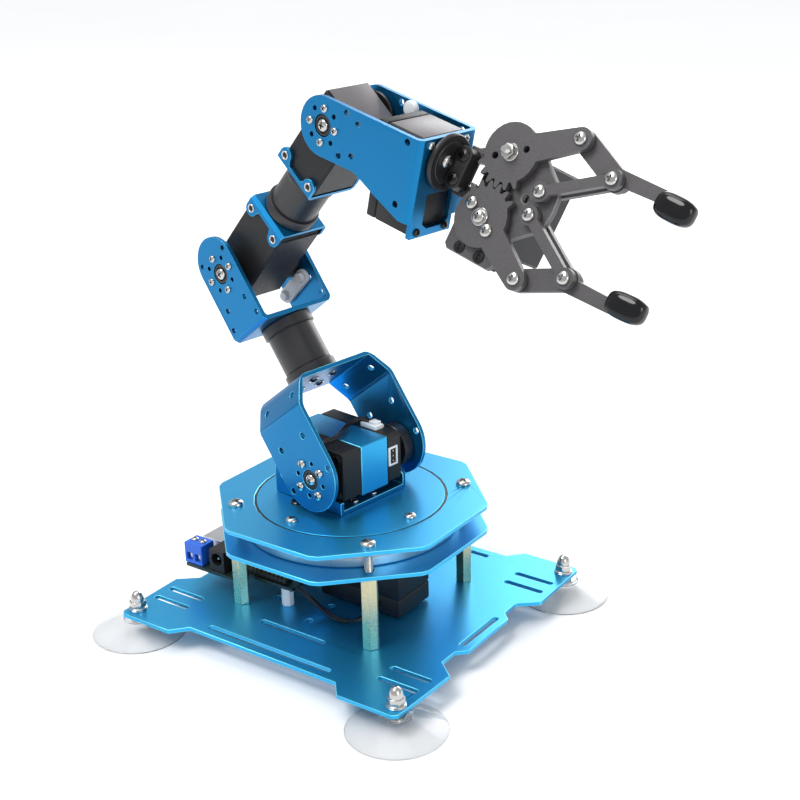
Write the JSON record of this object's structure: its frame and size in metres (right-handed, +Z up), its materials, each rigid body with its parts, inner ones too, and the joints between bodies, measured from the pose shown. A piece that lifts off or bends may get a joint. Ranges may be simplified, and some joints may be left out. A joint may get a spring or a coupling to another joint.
{
  "type": "desktop robot arm",
  "caption": "Desktop serial robot arm on a suction-cup base: turntable, shoulder, elbow, wrist, wrist roll and a geared parallel-link gripper, in blue anodised sheet metal.",
  "frame": {"origin": "centre of the base plate's underside, on the turntable's axis", "axes": "+Z up along the turntable's axis, +X along the base plate's long side towards the side the gripper reaches over at rest, +Y to the rear; the arm's plane is turned 7.9 degrees clockwise from +X at rest"},
  "size_m": [0.2642, 0.184, 0.2503],
  "materials": {
    "deck_anodised": "satin anodised aluminium",
    "arm_anodised": "satin anodised aluminium",
    "clear_pvc": "clear flexible vinyl",
    "zinc_standoff": "yellow-zinc plated",
    "steel_screw": "bright plated",
    "servo_plastic": "fine moulded texture",
    "black_nylon": "satin moulded nylon",
    "cable_jacket": "satin",
    "white_nylon": "satin",
    "circuit_board": "solder mask",
    "blue_plastic": "moulded",
    "gripper_metal": "textured coating",
    "fingertip_rubber": "glossy dipped rubber"
  },
  "bodies": {
    "base": {"base_plate": "deck_anodised", "suction_cup_front_left": "clear_pvc", "suction_cup_front_right": "clear_pvc", "suction_cup_rear_left": "clear_pvc", "suction_cup_rear_right": "clear_pvc", "standoff_front_left": "zinc_standoff", "standoff_front_right": "zinc_standoff", "standoff_rear_left": "zinc_standoff", "standoff_rear_right": "zinc_standoff", "deck_bolt_front_left": "steel_screw", "deck_bolt_front_right": "steel_screw", "deck_bolt_rear_left": "steel_screw", "deck_bolt_rear_right": "steel_screw", "lower_deck": "deck_anodised", "upper_deck": "deck_anodised", "bearing_outer_ring": "steel_screw", "yaw_servo": "servo_plastic", "controller_board": "circuit_board", "terminal_block": "blue_plastic", "dc_jack": "servo_plastic", "usb_socket": "steel_screw", "board_standoff_front": "white_nylon", "board_standoff_rear": "white_nylon", "yaw_servo_cable": "cable_jacket"},
    "turntable": {"turntable_disc": "deck_anodised", "bearing_inner_ring": "steel_screw", "turntable_hub": "steel_screw", "shoulder_bracket": "arm_anodised", "shoulder_servo_front": "servo_plastic", "shoulder_servo_case": "arm_anodised", "shoulder_servo_rear": "servo_plastic", "shoulder_servo_cable": "cable_jacket"},
    "upper_arm": {"shoulder_fork": "arm_anodised", "shoulder_horn": "black_nylon", "shoulder_idler": "black_nylon", "upper_arm_tube": "black_nylon", "elbow_fork": "arm_anodised", "elbow_horn": "black_nylon", "elbow_idler": "black_nylon"},
    "forearm": {"elbow_servo": "servo_plastic", "elbow_cap": "arm_anodised", "forearm_tube": "black_nylon", "wrist_cap": "arm_anodised", "wrist_servo": "servo_plastic"},
    "hand": {"hand_bracket": "arm_anodised", "wrist_horn": "black_nylon", "wrist_idler": "black_nylon", "roll_servo": "servo_plastic"},
    "gripper": {"roll_horn": "black_nylon", "gripper_mount_block": "gripper_metal", "palm_plate": "gripper_metal", "gripper_servo": "servo_plastic"},
    "drive_link": {"drive_gear_link": "gripper_metal"},
    "driven_link": {"driven_gear_link": "gripper_metal"},
    "upper_support": {"upper_support_link": "gripper_metal"},
    "lower_support": {"lower_support_link": "gripper_metal"},
    "upper_finger_body": {"upper_finger": "gripper_metal", "upper_fingertip_cap": "fingertip_rubber"},
    "lower_finger_body": {"lower_finger": "gripper_metal", "lower_fingertip_cap": "fingertip_rubber"}
  },
  "joints": [
    {"name": "base_yaw", "type": "hinge", "parent": "base", "child": "turntable", "pos_m": [0, 0, 0.0513], "axis": [0, 0, 1], "range_deg": [-112, 128]},
    {"name": "shoulder_pitch", "type": "hinge", "parent": "turntable", "child": "upper_arm", "pos_m": [0.00337, -0.00047, 0.0702], "axis": [0.1374, 0.9905, 0], "range_deg": [-45, 95]},
    {"name": "elbow_pitch", "type": "hinge", "parent": "upper_arm", "child": "forearm", "pos_m": [-0.05892, 0.00818, 0.15215], "axis": [-0.1374, -0.9905, 0], "range_deg": [-40, 195]},
    {"name": "wrist_pitch", "type": "hinge", "parent": "forearm", "child": "hand", "pos_m": [0.00828, -0.00115, 0.22698], "axis": [0.1374, 0.9905, 0], "range_deg": [-160, 45]},
    {"name": "wrist_roll", "type": "hinge", "parent": "hand", "child": "gripper", "pos_m": [0.06313, -0.00876, 0.21563], "axis": [0.9639, -0.1338, -0.23], "range_deg": [-95, 145]},
    {"name": "gripper_drive", "type": "hinge", "parent": "gripper", "child": "drive_link", "pos_m": [0.08021, -0.017, 0.19854], "axis": [-0.0283, -0.9111, 0.4113], "range_deg": [-30, 26.5]},
    {"name": "gripper_driven", "type": "hinge", "parent": "gripper", "child": "driven_link", "pos_m": [0.0875, -0.00627, 0.22283], "axis": [-0.0283, -0.9111, 0.4113], "range_deg": [-26.5, 30]},
    {"name": "upper_support_pivot", "type": "hinge", "parent": "gripper", "child": "upper_support", "pos_m": [0.10414, -0.01236, 0.21047], "axis": [-0.0283, -0.9111, 0.4113], "range_deg": [-26.5, 30]},
    {"name": "lower_support_pivot", "type": "hinge", "parent": "gripper", "child": "lower_support", "pos_m": [0.10155, -0.01618, 0.20183], "axis": [-0.0283, -0.9111, 0.4113], "range_deg": [-30, 26.5]},
    {"name": "upper_finger_pivot", "type": "hinge", "parent": "driven_link", "child": "upper_finger_body", "pos_m": [0.11672, -0.00374, 0.23043], "axis": [-0.0283, -0.9111, 0.4113], "range_deg": [-30, 26.5]},
    {"name": "lower_finger_pivot", "type": "hinge", "parent": "drive_link", "child": "lower_finger_body", "pos_m": [0.10127, -0.02651, 0.17894], "axis": [-0.0283, -0.9111, 0.4113], "range_deg": [-26.5, 30]}
  ],
  "couplings": [
    {"joint": "gripper_driven", "follows": "gripper_drive", "ratio": -1},
    {"joint": "upper_support_pivot", "follows": "gripper_drive", "ratio": -1},
    {"joint": "lower_support_pivot", "follows": "gripper_drive", "ratio": 1},
    {"joint": "upper_finger_pivot", "follows": "gripper_drive", "ratio": 1},
    {"joint": "lower_finger_pivot", "follows": "gripper_drive", "ratio": -1}
  ]
}
